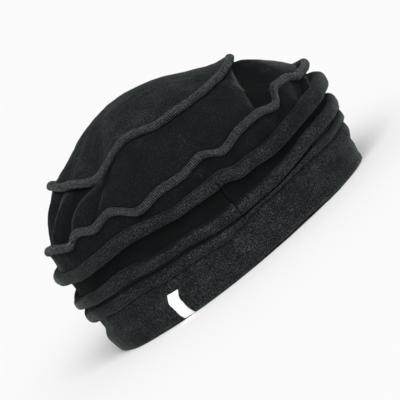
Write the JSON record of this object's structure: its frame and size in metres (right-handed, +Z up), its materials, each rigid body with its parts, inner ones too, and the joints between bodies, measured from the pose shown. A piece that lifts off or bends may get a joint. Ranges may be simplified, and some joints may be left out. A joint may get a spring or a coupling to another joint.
{
  "type": "fleece beanie",
  "caption": "Dark fleece beanie: low oval crown, wavy turned-out seam edges, rolled tucks round the upright side and a plain doubled band that it rests on.",
  "frame": {"origin": "centre of the hat's overall outline, on the surface that its hem rests on", "axes": "+X to the front of the hat, +Y to the wearer's left, +Z up through the crown"},
  "size_m": [0.2288, 0.1902, 0.1349],
  "materials": {
    "black_fleece": "brushed knit fleece with a soft speckled nap",
    "white_satin": "smooth woven ribbon"
  },
  "bodies": {
    "root": {"crown_top": "black_fleece", "side_panel": "black_fleece", "tucked_panel": "black_fleece", "band": "black_fleece", "label": "white_satin"}
  },
  "joints": []
}
